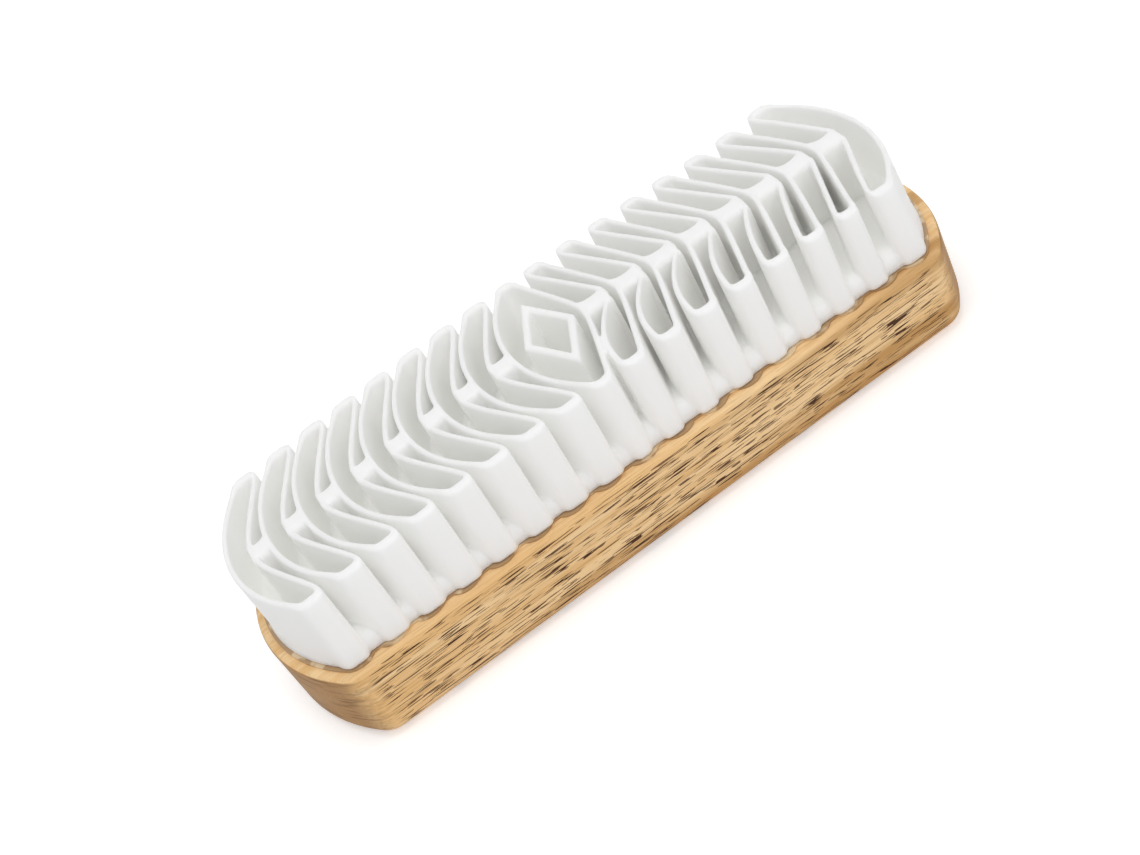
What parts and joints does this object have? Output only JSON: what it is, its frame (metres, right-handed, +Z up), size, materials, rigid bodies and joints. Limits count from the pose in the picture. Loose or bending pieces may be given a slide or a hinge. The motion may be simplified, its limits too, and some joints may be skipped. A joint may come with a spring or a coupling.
{
  "type": "suede brush",
  "caption": "Suede and nubuck shoe brush: a round-ended wooden block carrying a pad of thin standing rubber cells in a chevron row around a diamond.",
  "frame": {"origin": "middle of the block's flat underside", "axes": "+X along the block, +Y across it, +Z up from the wood through the rubber"},
  "size_m": [0.13, 0.0452, 0.0306],
  "materials": {
    "wood": "sanded and lightly oiled beech",
    "rubber": "matte off-white moulded soft rubber",
    "adhesive": "clear contact adhesive, slightly glossy"
  },
  "bodies": {
    "root": {"handle_block": "wood", "adhesive_film": "adhesive", "rubber_foot": "rubber", "cell_01": "rubber", "cell_02": "rubber", "cell_03": "rubber", "cell_04": "rubber", "cell_05": "rubber", "cell_06": "rubber", "cell_07": "rubber", "cell_08": "rubber", "cell_09": "rubber", "cell_10": "rubber", "cell_11": "rubber", "cell_12": "rubber", "cell_13": "rubber", "cell_14": "rubber", "cell_15": "rubber", "cell_16": "rubber", "cell_17": "rubber", "centre_diamond": "rubber"}
  },
  "joints": []
}
